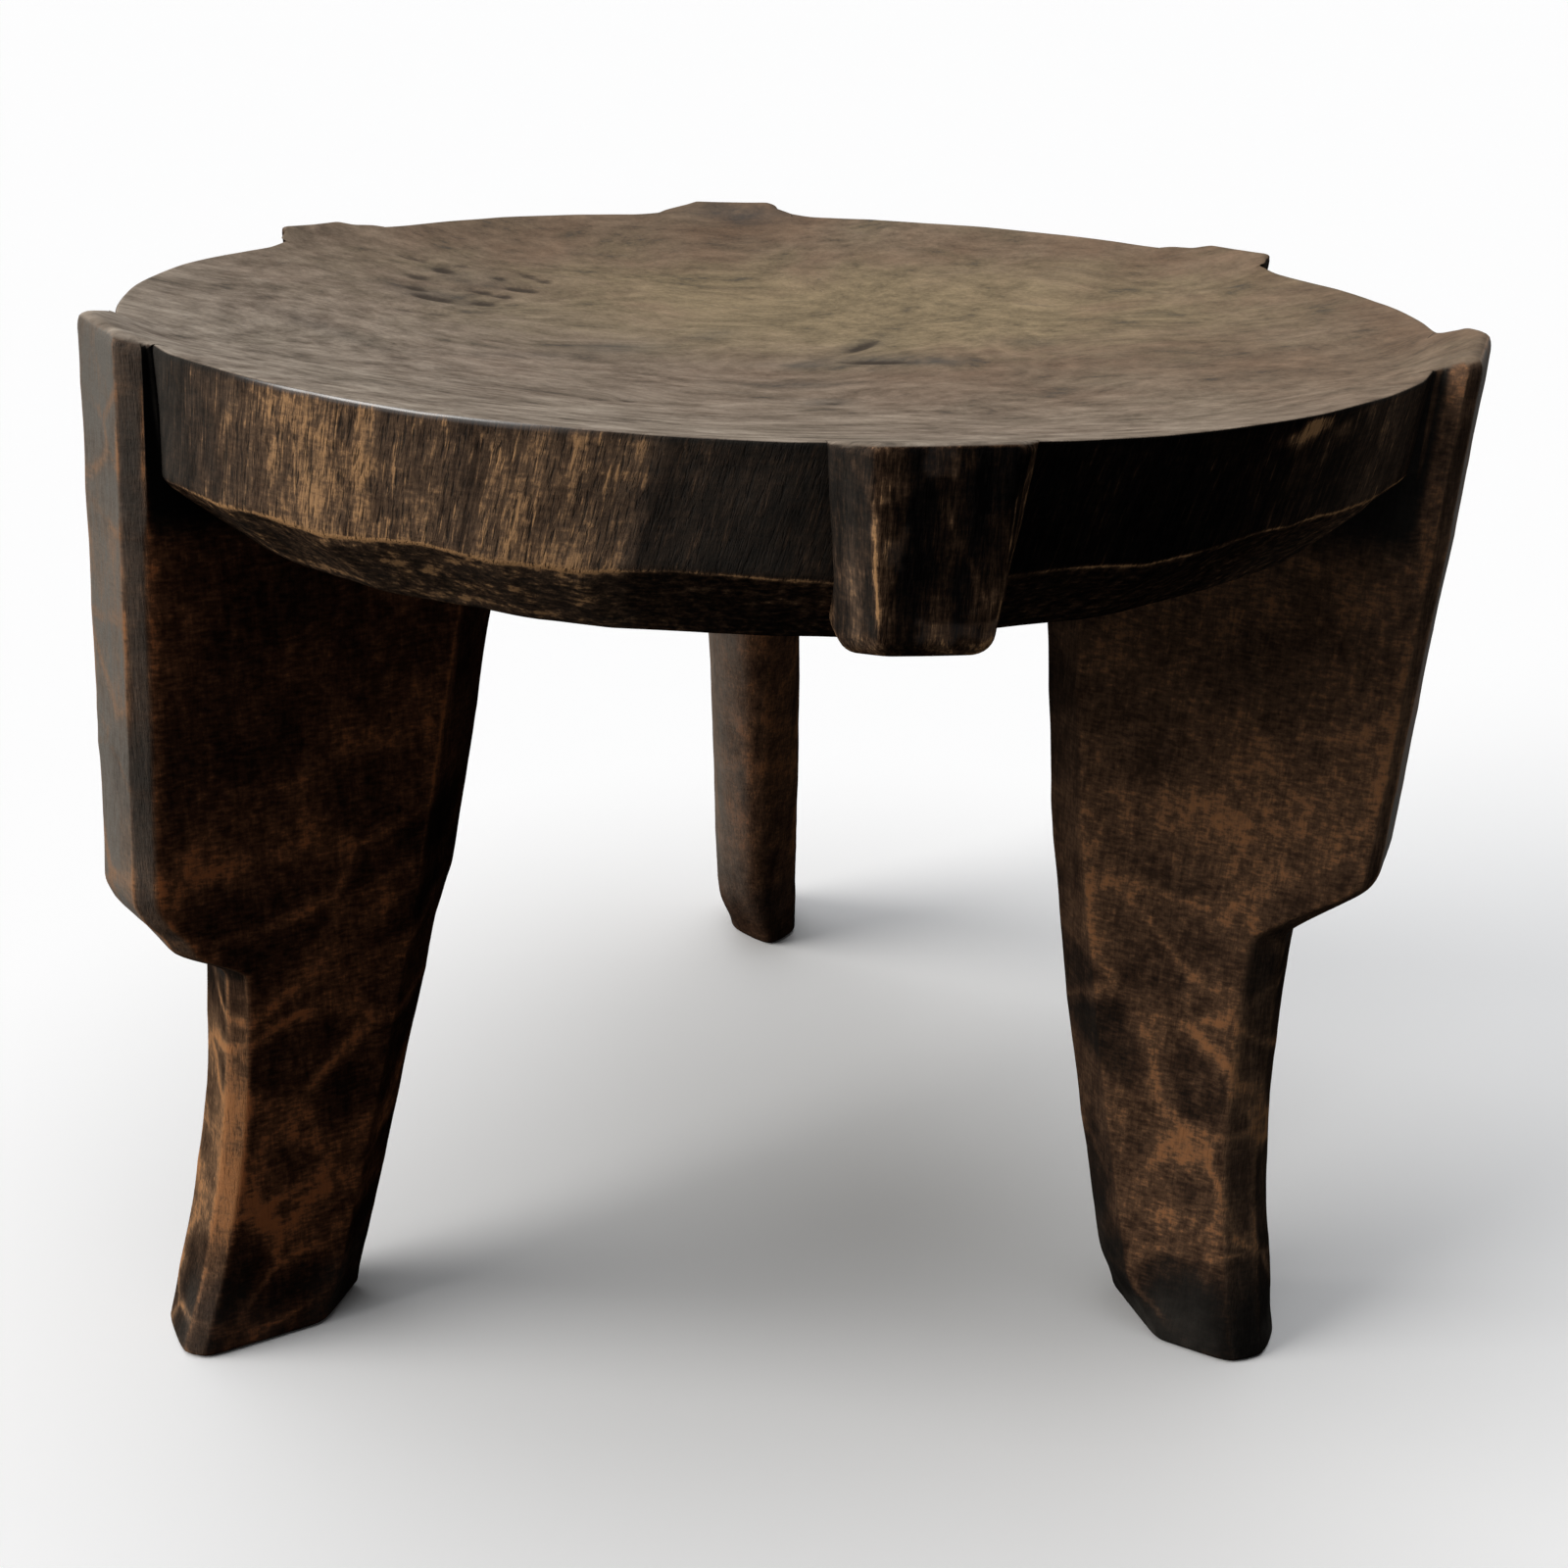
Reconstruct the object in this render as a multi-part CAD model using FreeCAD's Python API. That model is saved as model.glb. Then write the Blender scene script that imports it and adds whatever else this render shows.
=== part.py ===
import FreeCAD, Part
import os

# A low three-legged stool, carved from hardwood. Sizes are millimetres and angles are degrees.
# Z is up, the floor is Z = 0, and the origin lies on the floor under the middle of the seat.
# Angles round the seat run anticlockwise from +X, seen from above.

# Seat: a dished slab with an upright band round it and a bevel under the band.
# The dish runs on past the rim, so that the tops of the legs and lugs go on rising outwards.
RIM_RADIUS = 150.0
RIM_HEIGHT = 243.0
DISH_DEPTH = 15.0
BAND_HEIGHT = 22.5
BAND_INSET = 1.2
BEVEL_WIDTH = 19.0
BEVEL_DROP = 16.0

# Upper leg: a thick plank on edge, lapped over the band from the rim down to the step
LEG_PROUD = 8.0
LEG_DEPTH_AT_RIM = 94.5
LEG_DEPTH_AT_STEP = 77.0
LEG_THICKNESS_AT_RIM = 31.0
LEG_CHAMFER = 6.0

# Shoulder and shank: the outer face steps in, then curves out again to the foot
SHOULDER_DEPTH = 18.5
SHOULDER_DROP = 19.0
SHANK_DEPTH_AT_SHOULDER = 54.0
SHANK_DEPTH_AT_MIDDLE = 45.5
SHANK_SWELL = 4.5
SHANK_CHAMFER = 6.5
FOOT_KICK = 16.0
FOOT_DEPTH = 42.5
FOOT_THICKNESS = 24.5
INNER_CHAMFER = 10.5

# Corners are never cut back by more than this share of a leg's thickness
CHAMFER_SHARE = 0.43

# Each leg: its place round the seat, the height of its step, how far the step stands out from
# the rim, and how far the foot stands off to the side
LEFT_LEG_ANGLE = 211.1
LEFT_STEP_HEIGHT = 122.0
LEFT_STEP_PROUD = 16.0
LEFT_FOOT_SIDE = 5.0
RIGHT_LEG_ANGLE = -21.7
RIGHT_STEP_HEIGHT = 130.5
RIGHT_STEP_PROUD = 7.5
RIGHT_FOOT_SIDE = -17.6
BACK_LEG_ANGLE = 97.1
BACK_STEP_HEIGHT = 127.4
BACK_STEP_PROUD = 10.6
BACK_FOOT_SIDE = -14.2

# Lugs: tapered blocks on the band, one between each two legs
LUG_PROUD = 11.0
LUG_HEIGHT = 30.5
LUG_BASE_AT_RIM = 35.0
LUG_FACE_AT_RIM = 24.0
LUG_BASE_AT_TOE = 28.0
LUG_FACE_AT_TOE = 20.0
LUG_TOE_ROUND = 4.0
FRONT_LUG_ANGLE = -79.5
BACK_RIGHT_LUG_ANGLE = 34.0
BACK_LEFT_LUG_ANGLE = 149.0

# Heights and radii that follow from these
ridge_height = RIM_HEIGHT - BAND_HEIGHT
underside_height = ridge_height - BEVEL_DROP
ridge_radius = RIM_RADIUS - BAND_INSET
underside_radius = ridge_radius - BEVEL_WIDTH
leg_radius = RIM_RADIUS + LEG_PROUD
lug_radius = RIM_RADIUS + LUG_PROUD

# The dish is part of a sphere through the rim's edge, and the block stands above all that it leaves
dish_radius = (RIM_RADIUS ** 2 + DISH_DEPTH ** 2) / (2 * DISH_DEPTH)
dish_centre_height = RIM_HEIGHT - DISH_DEPTH + dish_radius
block_radius = max(leg_radius + LEG_THICKNESS_AT_RIM, lug_radius + LUG_BASE_AT_RIM)
block_height = dish_centre_height - (dish_radius ** 2 - block_radius ** 2) ** 0.5

ORIGIN = FreeCAD.Vector(0, 0, 0)
UP = FreeCAD.Vector(0, 0, 1)


def closed_wire(points):
    """A closed wire of straight edges through the points."""
    corners = [FreeCAD.Vector(*point) for point in points]
    return Part.makePolygon(corners + corners[:1])


def at_block_top(at_rim, at_lower, lower_height):
    """A size that changes evenly between a lower height and the rim, carried on up to the block's top."""
    return at_rim + (at_rim - at_lower) * (block_height - RIM_HEIGHT) / (RIM_HEIGHT - lower_height)


def make_seat_form():
    """The seat's outside, revolved about Z: underside, bevel and band, carried on up past the rim.

    The legs and lugs are scribed to this form, so that they meet the seat face to face.
    """
    radius_at_block_top = RIM_RADIUS + BAND_INSET * (block_height - RIM_HEIGHT) / BAND_HEIGHT
    profile = closed_wire([
        (0, 0, underside_height),
        (underside_radius, 0, underside_height),
        (ridge_radius, 0, ridge_height),
        (radius_at_block_top, 0, block_height),
        (0, 0, block_height),
    ])
    return Part.Face(profile).revolve(ORIGIN, UP, 360)


def make_dish():
    """The ball that hollows the seat and trims the tops of the legs and lugs in one sweep."""
    return Part.makeSphere(dish_radius, FreeCAD.Vector(0, 0, dish_centre_height))


def make_leg(seat_form, dish, angle, step_height, step_proud, foot_side):
    """A stepped leg along +X, lofted through level sections, turned to its angle and scribed to the seat.

    Each section is a rectangle with its corners cut off. Its thickness and its place to the side
    change evenly from the rim to the floor, so that the leg leans as a straight tapered plank does.
    """
    step_radius = RIM_RADIUS + step_proud
    shoulder_radius = step_radius - SHOULDER_DEPTH
    shoulder_height = step_height - SHOULDER_DROP

    def section(height, outer, depth, outer_chamfer):
        descent = 1 - height / RIM_HEIGHT
        thickness = LEG_THICKNESS_AT_RIM + (FOOT_THICKNESS - LEG_THICKNESS_AT_RIM) * descent
        outer_cut = min(outer_chamfer, CHAMFER_SHARE * thickness)
        inner_cut = min(INNER_CHAMFER, CHAMFER_SHARE * thickness)
        left = foot_side * descent + thickness / 2
        right = left - thickness
        inner = outer - depth
        return closed_wire([
            (outer, right + outer_cut, height),
            (outer, left - outer_cut, height),
            (outer - outer_cut, left, height),
            (inner + inner_cut, left, height),
            (inner, left - inner_cut, height),
            (inner, right + inner_cut, height),
            (inner + inner_cut, right, height),
            (outer - outer_cut, right, height),
        ])

    top_radius = at_block_top(leg_radius, step_radius, step_height)
    top_depth = at_block_top(LEG_DEPTH_AT_RIM, LEG_DEPTH_AT_STEP, step_height)
    top = section(block_height, top_radius, top_depth, LEG_CHAMFER)
    step = section(step_height, step_radius, LEG_DEPTH_AT_STEP, LEG_CHAMFER)
    shoulder = section(shoulder_height, shoulder_radius, SHANK_DEPTH_AT_SHOULDER, SHANK_CHAMFER)
    middle = section(shoulder_height / 2, shoulder_radius + SHANK_SWELL, SHANK_DEPTH_AT_MIDDLE, SHANK_CHAMFER)
    foot = section(0, shoulder_radius + FOOT_KICK, FOOT_DEPTH, SHANK_CHAMFER)

    straight_sided = Part.makeLoft([top, step, shoulder], True, True)
    curved_shank = Part.makeLoft([shoulder, middle, foot], True, False)
    leg = straight_sided.fuse(curved_shank)
    leg.rotate(ORIGIN, UP, angle)
    return leg.cut([seat_form, dish])


def make_lug(seat_form, dish, angle):
    """A tapered block along +X, rounded under its toe, turned to its angle and scribed to the seat."""

    def section(height, base_width, face_width):
        return closed_wire([
            (lug_radius, -face_width / 2, height),
            (lug_radius, face_width / 2, height),
            (RIM_RADIUS, base_width / 2, height),
            (underside_radius, base_width / 2, height),
            (underside_radius, -base_width / 2, height),
            (RIM_RADIUS, -base_width / 2, height),
        ])

    toe_height = RIM_HEIGHT - LUG_HEIGHT
    top_base = at_block_top(LUG_BASE_AT_RIM, LUG_BASE_AT_TOE, toe_height)
    top_face = at_block_top(LUG_FACE_AT_RIM, LUG_FACE_AT_TOE, toe_height)
    top = section(block_height, top_base, top_face)
    toe = section(toe_height, LUG_BASE_AT_TOE, LUG_FACE_AT_TOE)
    lug = Part.makeLoft([top, toe], True, True)
    toe_edge = max(lug.Edges, key=lambda edge: edge.CenterOfMass.x - edge.CenterOfMass.z)
    lug = lug.makeFillet(LUG_TOE_ROUND, [toe_edge])
    lug.rotate(ORIGIN, UP, angle)
    return lug.cut([seat_form, dish])


def main():
    os.makedirs("parts", exist_ok=True)
    form = make_seat_form()
    dish = make_dish()
    legs = {
        "left_leg": (LEFT_LEG_ANGLE, LEFT_STEP_HEIGHT, LEFT_STEP_PROUD, LEFT_FOOT_SIDE),
        "right_leg": (RIGHT_LEG_ANGLE, RIGHT_STEP_HEIGHT, RIGHT_STEP_PROUD, RIGHT_FOOT_SIDE),
        "back_leg": (BACK_LEG_ANGLE, BACK_STEP_HEIGHT, BACK_STEP_PROUD, BACK_FOOT_SIDE),
    }
    lugs = {
        "front_lug": FRONT_LUG_ANGLE,
        "back_right_lug": BACK_RIGHT_LUG_ANGLE,
        "back_left_lug": BACK_LEFT_LUG_ANGLE,
    }
    nodes = {"seat": form.cut(dish)}
    for name, places in legs.items():
        nodes[name] = make_leg(form, dish, *places)
    for name, angle in lugs.items():
        nodes[name] = make_lug(form, dish, angle)
    for name, shape in nodes.items():
        solid = shape.removeSplitter()
        solid.exportStep(os.path.join("parts", name + ".step"))
        print(name, len(solid.Solids), "solid,", round(solid.Volume / 1000, 1), "cubic centimetres")


main()
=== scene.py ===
import math
from types import SimpleNamespace

import bpy
import numpy as np
from mathutils import Matrix, Vector


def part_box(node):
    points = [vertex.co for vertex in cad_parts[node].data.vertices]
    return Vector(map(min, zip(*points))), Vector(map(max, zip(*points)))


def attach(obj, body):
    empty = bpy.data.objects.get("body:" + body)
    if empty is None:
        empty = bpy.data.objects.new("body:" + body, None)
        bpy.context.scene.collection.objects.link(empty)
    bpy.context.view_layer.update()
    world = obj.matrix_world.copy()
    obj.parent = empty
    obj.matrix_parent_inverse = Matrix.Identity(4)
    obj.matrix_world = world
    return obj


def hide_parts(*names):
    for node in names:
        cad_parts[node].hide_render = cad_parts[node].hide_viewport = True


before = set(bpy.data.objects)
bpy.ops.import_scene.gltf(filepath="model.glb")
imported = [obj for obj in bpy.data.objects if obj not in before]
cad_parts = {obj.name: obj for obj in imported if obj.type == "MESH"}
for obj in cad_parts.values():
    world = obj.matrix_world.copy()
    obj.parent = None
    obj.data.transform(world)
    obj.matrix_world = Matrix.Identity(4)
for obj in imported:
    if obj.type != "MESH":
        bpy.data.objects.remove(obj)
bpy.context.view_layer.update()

# A three-legged stool carved from one block of dark wood: a dished seat with a band and a bevel,
# stepped legs that lap the band, and lugs between them. Shapes are worked out in millimetres and
# degrees, with Z up and the floor at Z = 0, and turned into metres when a mesh is written.
# Clouds and strokes end with a seed, a whole number picked freely for each pattern.
MM = 0.001
seat_low, seat_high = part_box("seat")
RIM_RADIUS = seat_high.x / MM
RIM_HEIGHT = seat_high.z / MM
UNDERSIDE_HEIGHT = seat_low.z / MM

# Seat: the carver's eye left nothing level, so each height has a tilt along X and Y
RIM_TILT = (0.0108, -0.0063)
RIDGE_HEIGHT = 220.9
RIDGE_TILT = (0.028, -0.004)
UNDERSIDE_TILT = (0.022, -0.004)
UNDERSIDE_DROP = 1.4
BAND_INSET = 1.2
BAND_STROKES = (30, 30, 24)
BAND_STROKE_DEPTH = 0.8
BEVEL_WIDTH = 19.0
LEFT_END, LEFT_END_REACH, LEFT_END_FLARE = 217.0, 9.0, 2.0
SCOOP_SIZE = 27.0
SCOOP_MEAN = 0.42
SCOOP_RISE, SCOOP_LOW_RISE = 3.6, 0.8
SCOOP_DEPTH = 2.4
SEAT_COLUMNS = 512
UNDERSIDE_ROWS = 10
BEVEL_ROWS = 30
BAND_ROWS = 36
DISH_ROWS = 114
DISH_ROW_POWER = 1.3
RIDGE_ROW = UNDERSIDE_ROWS + BEVEL_ROWS - 2
RIM_ROW = RIDGE_ROW + BAND_ROWS - 1
SEAT_SEAM_ANGLE = 97.0

# Dish: the lifts of its rim have a reach along Y, the ears rise over these radii, and their rise
# fades from before to past each side
DISH_DEPTH = 15.0
DISH_STROKES, DISH_STROKE_DEPTH = (30, 22, 30), 0.3
BACK_LIFT, BACK_LIFT_REACH = 0.9, (60, 150)
FRONT_LIFT, FRONT_LIFT_REACH = 1.4, (30, 130)
EAR_RADII = (138, 158)
EAR_FADE_FROM, EAR_FADE_TO = 3, 8


def by_member(names, table):
    """A table whose rows have one value for each member, as each member's own values."""
    return {name: SimpleNamespace(**{key: row[k] for key, row in table.items()})
            for k, name in enumerate(names)}


LEGS = by_member(("left_leg", "right_leg", "back_leg"), dict(
    angle=(211.1, -21.7, 97.1),
    # Outer and inner radius at the rim, step, shoulder, middle of the shank and foot
    outer=((158.7, 168.1, 146, 151.6, 165.3), (158.4, 157.7, 140, 142.8, 153.2),
           (158, 160.6, 143.8, 148.6, 159)),
    inner=((62.6, 88.4, 93.2, 106, 119.2), (63.2, 79.3, 82.8, 95.5, 111),
           (65, 84.6, 90.9, 104, 117.8)),
    # The step's height, its drop to the shoulder, and its rounding
    step=(113, 133, 127.4), drop=(9.5, 18, 20), step_round=(10, 2, 5),
    # Half the thickness at the rim, to each side, and at the foot; the foot's offset and twist
    base=((15.8, 15.8), (15.7, 15.7), (14.6, 14.6)), half_foot=(12.1, 13.3, 13.4),
    side=(5, -17.6, -14.6), twist=(-0.9, -2.8, -0.8),
    # Cut corners above and below the step, and how far in and to the side of its corner the
    # anticlockwise outer edge stands above the step
    outer_cut=((7.8, 4.2), (2.8, 7), (2.4, 8.5)),
    inner_cut=((13.3, 10.5), (10.4, 10.6), (9.4, 9.7)),
    edge=((3.2, 3.8), (0, 5), (0, 2.4)),
    # On the anticlockwise and the clockwise side: the flare into the rim, the end's rise above the
    # dish's sweep, what the floor took off the foot's inner corner, and the foot's narrowing
    flares=((0.5, 6), (20, 1), (9, 3)), rise=((1.2, 3.3), (4.7, 2.6), (2, 2)),
    foot_wear=((1, 3), (1, 5), (2, 0)), narrow=((0, 0), (0, 0), (4.5, 0)),
    # Tones above and below the step, there on the cut corners, inside, at the foot, and painted
    # shade under the seat
    tone=((-0.06, 0.08), (0.11, -0.02), (0.04, 0.06)),
    cut_tone=((-0.04, 0.13), (-0.07, -0.03), (-0.12, 0.04)),
    inner_tone=(-0.16, -0.14, 0.12), foot_tone=(-0.26, -0.6, -0.24), shade=(-0.12, 0.02, -0.1),
    # How plain the strokes' golden borders and the worn corners are
    seam=(1, 0.9, 0.1), arris=(0.9, 0.6, 0.1),
    # Grey bloom with painted sheen all over, grey on the upper cut corners, dust under the seat,
    # and a painted grey highlight on the anticlockwise side
    bloom=(0.02, 0.07, 0.05), slate=(0.3, 0, 0.05), dust=(0, 0.1, 0), grey=(0, 0, 0.55),
    # The radius out to which black painted shade lies beside the band, its red tint painted in
    # shade, and how soft its form is
    recess=(154.5, 153.5, 152), ember=(1, 0.3, 0.55), soft=(0, 0.15, 0.9),
    seed=(100, 200, 300),
))
LEG_FULL_HEIGHT = 245.5
LEG_SIDE_ROWS = 214
LEG_SIDE_COUNTS = (24, 9, 24, 5, 42, 12, 12, 12, 42, 5, 24, 9)
ARRIS_COLUMNS = [sum(LEG_SIDE_COUNTS[:side]) for side in (0, 1, 2, 11, 12)]
LEG_STROKES = (30, 30, 19)
LEG_BLEND = 30.0
FLARE_LEVELS = (214, 228)
UNDER_LEG_RADIUS = 100.0
BURIED_FROM, BURIED_TO, BURIED_CUT = 2, 7, 2.0
FOOT_ROUND = 2.0
FOOT_WEAR_HEIGHT = 18.0
FOOT_SOFTNESS = 0.6
CORNER_PASSES, SOFT_PASSES = 46, 100

LUGS = by_member(("front_lug", "back_right_lug", "back_left_lug"), dict(
    angle=(-79.5, 35.4, 148.9),
    # How far out the face stands, and half its width at the rim and at the toe
    radius=(161, 155.8, 155.4), face=((12.5, 9.7), (11, 9.5), (10.3, 9)),
    # The toe's height, and how far it drops towards the seat
    toe=(212.2, 212, 211.5), toe_drop=(3.2, 2.5, 2.5),
    # On the anticlockwise and the clockwise side: the base's width from the middle, its taper to
    # the toe, its flare and its rise
    base=((17.2, 17.6), (15, 13.5), (13.5, 14)), taper=((5.3, 3.6), (3, 3), (3, 3)),
    flares=((1, 0), (9, 0.5), (3, 8)), rise=((0.3, 0.3), (1.2, 2.4), (2.5, 1.4)),
    tone=(-0.04, -0.05, -0.05), seed=(400, 500, 600),
))
LUG_SIDE_ROWS = 48
LUG_SIDE_COUNTS = (44, 22, 10, 6, 16, 6, 10, 22)
LUG_PASSES = 10
LUG_STROKES = (16, 16, 20)
LUG_BLEND = 15.0
TOE_ROUND = 3.6
TOE_DROP_HEIGHT = 18.0
LUG_TOP_ROUND = 2.0

# Legs and lugs reach a little way into the seat, where nothing shows; their tops lie just above
# the dish, sink under it inside the rim and are rounded outside it
CAP_ROWS, ROUND_ROWS = 8, 8
SIDE_TOP = 240.0
TOP_ROUND = 4.0
TOP_LEVEL = 225.0
STROKE_LEAN = 0.3
HIDDEN_RADII = ((204.0, 122.0), (222.0, 143.0))
LAP_RADIUS = 150.0
TOP_PROUD, TOP_SINK = 0.05, 0.9
SINK_RADII = (143.5, 147.5)
ROUNDED_RADII = (149, 154)

# Marks in the dish: place, half length, half width, turn and depth
GOUGES = (
    (-98, 55, 4, 3.2, 0, 0.7), (-93, 65, 4, 3.2, -12, 0.7), (-96, 43, 4.2, 3, -8, 0.7),
    (-90, 35, 6.5, 3, -8, 0.9), (-78, 37, 4.5, 3, 4, 0.7), (-85, 19, 4.5, 2.4, -5, 0.4),
    (-94, 17, 5, 2.4, -8, 0.4), (-80, 49, 3.4, 2.8, 0, 0.6), (-74, 47, 3.2, 2.6, 10, 0.6),
    (-73, 57, 3.4, 2.6, 0, 0.7), (-71, 71, 3.4, 2.6, -15, 0.5), (-66, 68, 3.2, 2.6, 12, 0.6),
    (-68, 57, 3, 2.4, 15, 0.5), (-78, 65, 3.2, 2.6, -20, 0.5), (-86, 58, 3, 2.6, -10, 0.4),
    (-89, 72, 3.2, 2.6, 10, 0.4), (-103, 72, 9, 1.8, -18, 0.5), (-66, 29, 4, 2, -5, 0.3),
    (-65, 85, 3.4, 2.4, 20, 0.3), (-45, 68, 9, 1.8, 40, 0.3), (20, 20, 10, 2.2, 62, 0.7),
    (23, 2, 11, 2.4, 0, 0.7), (9, 20, 3.4, 2.2, -30, 0.4), (12, -57, 3.4, 2.4, 70, 0.5),
    (-30, -69, 3, 3, 40, 0.5), (-61, -69, 3, 2.4, 20, 0.3), (-70, -47, 7, 1.6, 35, 0.3),
    (60, -30, 4, 1.6, 15, 0.25),
)
# Slate smears left by wet things: place, half length, half width, turn and strength
SMEARS = (
    (4, -3, 9, 4.5, 15, 0.8), (24, 3, 15, 6, 0, 0.7), (20, 21, 11, 4, 62, 0.6),
    (-40, 4, 11, 6, 38, 0.7), (-18, 27, 8, 4, 48, 0.5), (38, 1, 8, 5, -10, 0.5),
    (-92, 38, 14, 9, -10, 0.5), (-84, 60, 12, 9, 0, 0.4), (6, -30, 14, 5, 10, 0.4),
    (-60, -18, 16, 4, 30, 0.4), (10, -58, 7, 5, 60, 0.6), (-14, 147, 18, 7, 4, 0.7),
    (62, 20, 12, 5, -20, 0.3), (-104, -20, 18, 5, -40, 0.35),
)
# Places where the rim is flatter, in the same way
FLAT_SIDES = ((-136, 60, 18, 40, 0, 1.4), (136, 55, 18, 40, 0, 1.4))


def lattice_value(ix, iy, iz, seed):
    """A repeatable value from 0 to 1 for each whole-number corner, by integer hashing."""
    mixed = (ix * 374761393 + iy * 668265263 + iz * 974634181 + seed * 1274126177) & 0xFFFFFFFF
    mixed = ((mixed ^ (mixed >> 13)) * 1274126177) & 0xFFFFFFFF
    mixed = ((mixed ^ (mixed >> 16)) * 1103515245) & 0xFFFFFFFF
    return (mixed ^ (mixed >> 15)) / 0xFFFFFFFF


def cloud(points, size, seed):
    """Smooth noise from -1 to 1: values at corners a size apart, blended by a quintic ease."""
    spot = points / size
    cell = np.floor(spot).astype(np.int64)
    share = spot - cell
    ease = share ** 3 * (share * (share * 6 - 15) + 10)
    total = 0
    for corner in np.ndindex(2, 2, 2):
        weight = np.prod(np.where(corner, ease, 1 - ease), axis=-1)
        total = total + weight * lattice_value(*np.moveaxis(cell + corner, -1, 0), seed)
    return 2 * total - 1


def clouds(points, size, seed):
    """Three clouds of halving size and strength added up, scaled back to about -1 to 1."""
    size = np.asarray(size, float)
    return sum(cloud(points, size / 2 ** k, seed + k) / 2 ** k for k in range(3)) / 1.75


def pushed(points, reach, size, seed, seed_step):
    """Points moved about by one cloud for each axis, so that a pattern on them flows."""
    steps = [clouds(points, size, seed + seed_step * k) for k in range(3)]
    return points + reach * np.stack(steps, -1)


def strokes(points, size, seed):
    """Adze strokes as cells round scattered centres.

    Gives the distance to the nearest centre and how much further the second one is, both in cell
    sizes, and a value from 0 to 1 that each cell has to itself.
    """
    spot = points / np.asarray(size, float)
    cell = np.floor(spot).astype(np.int64)
    first = np.full(spot.shape[:-1], 9.0)
    second = first.copy()
    own = np.zeros_like(first)
    for step in np.ndindex(3, 3, 3):
        corner = cell + (np.array(step) - 1)
        where = np.moveaxis(corner, -1, 0)
        centre = corner + np.stack([lattice_value(*where, seed + k) for k in range(3)], -1)
        gap = np.linalg.norm(spot - centre, axis=-1)
        nearer = gap < first
        second = np.where(nearer, first, np.minimum(second, gap))
        own = np.where(nearer, lattice_value(*where, seed + 3), own)
        first = np.minimum(first, gap)
    return first, second - first, own


def ramp_up(low, high, value):
    """0 below low, 1 above high, and a smooth cubic between."""
    share = np.clip((value - low) / (high - low), 0, 1)
    return share * share * (3 - 2 * share)


def ramp_down(low, high, value):
    """1 below low, 0 above high, and a smooth cubic between."""
    return 1 - ramp_up(low, high, value)


def towards(value, goal, share):
    """A value moved part of the way to another."""
    return value + (goal - value) * share


def hump(value, middle, reach):
    """A bell: 1 at the middle, falling off over the reach."""
    return np.exp(-((value - middle) / reach) ** 2)


def smoothed(grid, passes, axis, wrap):
    """Each pass swaps every value for the mean of itself, twice, and its two neighbours."""
    count = grid.shape[axis]
    here = np.arange(count)
    before = (here - 1) % count if wrap else np.maximum(here - 1, 0)
    after = (here + 1) % count if wrap else np.minimum(here + 1, count - 1)
    for _ in range(passes):
        grid = (np.take(grid, before, axis) + 2 * grid + np.take(grid, after, axis)) / 4
    return grid


def outward(grid):
    """Unit normals of a grid whose rows climb and whose columns go round anticlockwise.

    Each is the step round times the step up. The first and the last row, which are single points,
    take their neighbours' normals.
    """
    round_step = np.roll(grid, -1, 1) - np.roll(grid, 1, 1)
    climb_step = np.gradient(grid, axis=0)
    normal = np.cross(round_step, climb_step)
    normal[[0, -1]] = normal[[1, -2]]
    return normal / np.maximum(np.linalg.norm(normal, axis=-1, keepdims=True), 1e-9)


def bulge(grid, passes):
    """How far each point stands out from the smoothed surface: below 0 in hollows."""
    soft = smoothed(smoothed(grid, passes, 0, False), passes, 1, True)
    return np.sum((grid - soft) * outward(soft), axis=-1)


def tilted(height, tilt, x, y):
    """A height that changes evenly along X and Y."""
    return height + tilt[0] * x + tilt[1] * y


def turned(x, y, turn):
    """X and Y turned anticlockwise about the stool's axis."""
    c, s = np.cos(turn), np.sin(turn)
    return x * c - y * s, x * s + y * c


def member_frame(vectors, angle):
    """A member's own view of X and Y: outwards, and sideways to its anticlockwise side."""
    return turned(vectors[..., 0], vectors[..., 1], -math.radians(angle))


def on_rim(turn):
    """Points on the rim's circle."""
    return RIM_RADIUS * np.stack([np.cos(turn), np.sin(turn), 0 * turn], -1)


def long_bells(marks, x, y):
    """The sum of long bells, each with its own place, half length, half width, turn and height."""
    depth = np.zeros_like(x)
    for mark_x, mark_y, long, wide, turn, deep in marks:
        along, across = turned(x - mark_x, y - mark_y, -math.radians(turn))
        depth = depth + deep * np.exp(-(along / long) ** 2 - (across / wide) ** 2)
    return depth


def ear_rise(x, y):
    """How far the top sweeps up past the rim over the legs and lugs, fading at each one's sides."""
    total = np.zeros_like(x)
    for member in [*LEGS.values(), *LUGS.values()]:
        out, side = turned(x, y, -math.radians(member.angle))
        ahead, behind = member.base
        ahead_end, behind_end = (
            base + flare + EAR_FADE_TO for base, flare in zip(member.base, member.flares))
        rise = np.interp(side, (-behind, ahead), member.rise[::-1])
        window = ramp_down(ahead - EAR_FADE_FROM, ahead_end, side)
        window = window * ramp_down(behind - EAR_FADE_FROM, behind_end, -side)
        total = total + rise * window * (out > 0)
    return total * ramp_up(*EAR_RADII, np.hypot(x, y))


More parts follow.
